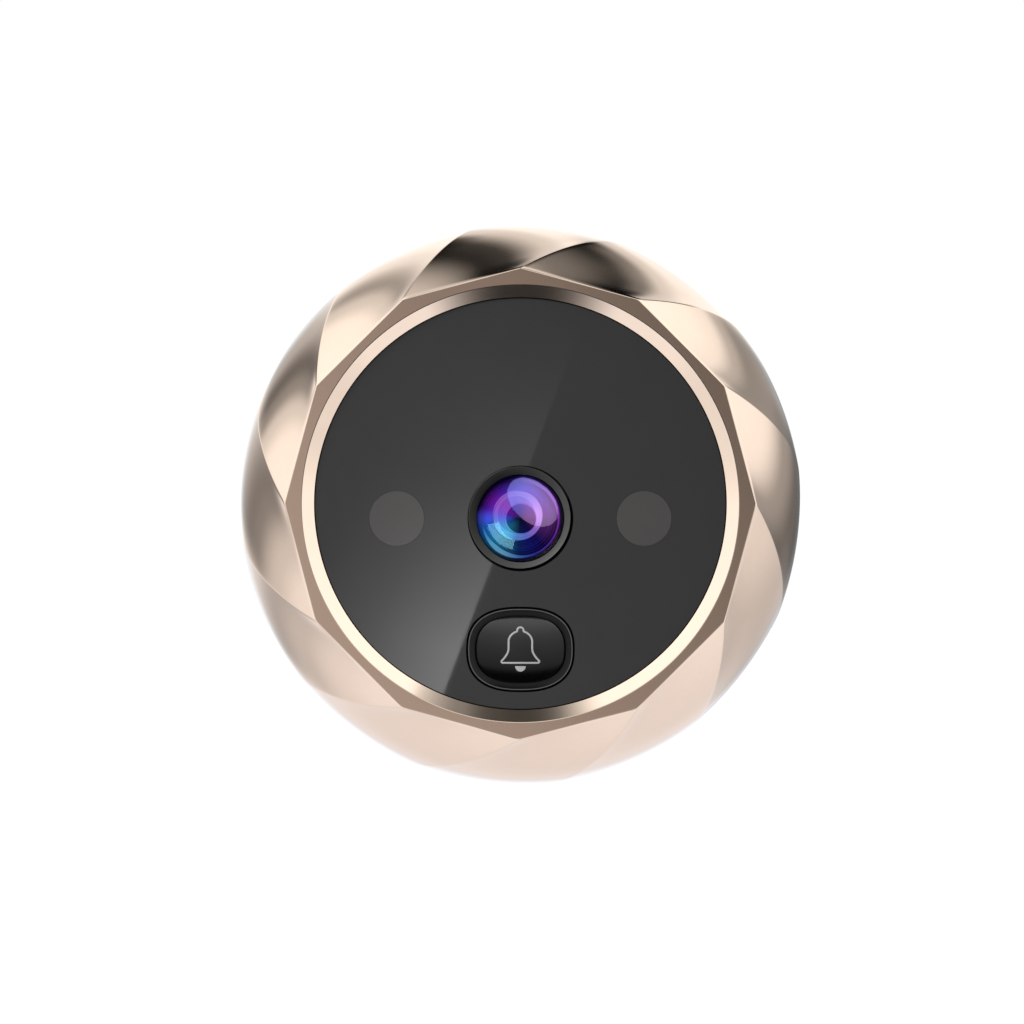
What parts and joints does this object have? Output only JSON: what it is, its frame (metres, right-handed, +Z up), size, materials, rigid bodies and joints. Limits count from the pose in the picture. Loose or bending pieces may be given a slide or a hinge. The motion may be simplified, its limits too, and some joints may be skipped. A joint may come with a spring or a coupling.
{
  "type": "peephole door camera",
  "caption": "Door-viewer camera: twisted, faceted rose-gold round body, dark gloss panel with lens, infrared windows and bell button, and a rear stem that passes through the door.",
  "frame": {"origin": "on the body's axis, in the plane of the door face that the foam ring rests on", "axes": "+Y along the stem into the door, so the front faces -Y; +Z up, with the button at the bottom"},
  "size_m": [0.0618, 0.048, 0.0618],
  "materials": {
    "body_metal": "satin rose-gold anodised",
    "panel_acrylic": "gloss dark grey",
    "ir_acrylic": "gloss grey, clear to infrared",
    "black_gloss": "gloss black",
    "sign": "light grey",
    "lens_glass": "coated optical glass",
    "filter_glass": "coated flat glass",
    "black_plastic": "matt black",
    "rear_plastic": "fine matt texture",
    "foam": "closed-cell foam",
    "tape": "adhesive foam",
    "board": "green solder mask",
    "chip": "matt black",
    "ceramic": "matt tan",
    "ferrite": "matt dark grey",
    "socket_plastic": "matt cream",
    "led_epoxy": "smoky clear",
    "steel": "plain zinc-plated",
    "tinned": "tinned",
    "insert_brass": "turned"
  },
  "bodies": {
    "unit": {"housing": "body_metal", "front_panel": "panel_acrylic", "ir_window_left": "ir_acrylic", "ir_window_right": "ir_acrylic", "lens_bezel": "black_gloss", "button_frame": "black_gloss", "lens_front_element": "lens_glass", "lens_second_element": "lens_glass", "lens_rear_element": "lens_glass", "ir_cut_filter": "filter_glass", "lens_barrel": "black_plastic", "aperture_stop": "black_plastic", "lens_spacer": "black_plastic", "lens_holder": "black_plastic", "led_shroud_left": "black_plastic", "led_shroud_right": "black_plastic", "switch_base": "black_plastic", "rear_cover": "rear_plastic", "mounting_stem": "rear_plastic", "lens_seal": "foam", "door_gasket": "foam", "panel_tape": "tape", "camera_board": "board", "main_board": "board", "image_sensor": "chip", "processor_chip": "chip", "board_capacitors": "ceramic", "power_inductor": "ferrite", "camera_header": "socket_plastic", "ribbon_connector": "socket_plastic", "ir_led_left": "led_epoxy", "ir_led_right": "led_epoxy", "camera_screws": "steel", "board_screws": "steel", "cover_screws": "steel", "stem_screws": "steel", "switch_cover": "steel", "switch_dome": "steel", "switch_terminals": "tinned", "stem_inserts": "insert_brass"},
    "button": {"button_cap": "black_gloss", "bell_inlay": "sign"},
    "plunger": {"switch_plunger": "black_plastic"}
  },
  "joints": [
    {"name": "button_press", "type": "slide", "parent": "unit", "child": "button", "axis": [0, 1, 0], "range_m": [0, 0.0005], "stiffness_N_per_m": 3000, "springref_m": -0.0003, "deforming": ["switch_dome"]},
    {"name": "plunger_press", "type": "slide", "parent": "unit", "child": "plunger", "axis": [0, 1, 0], "range_m": [0, 0.0005]}
  ],
  "couplings": [
    {"joint": "plunger_press", "follows": "button_press", "ratio": 1}
  ]
}
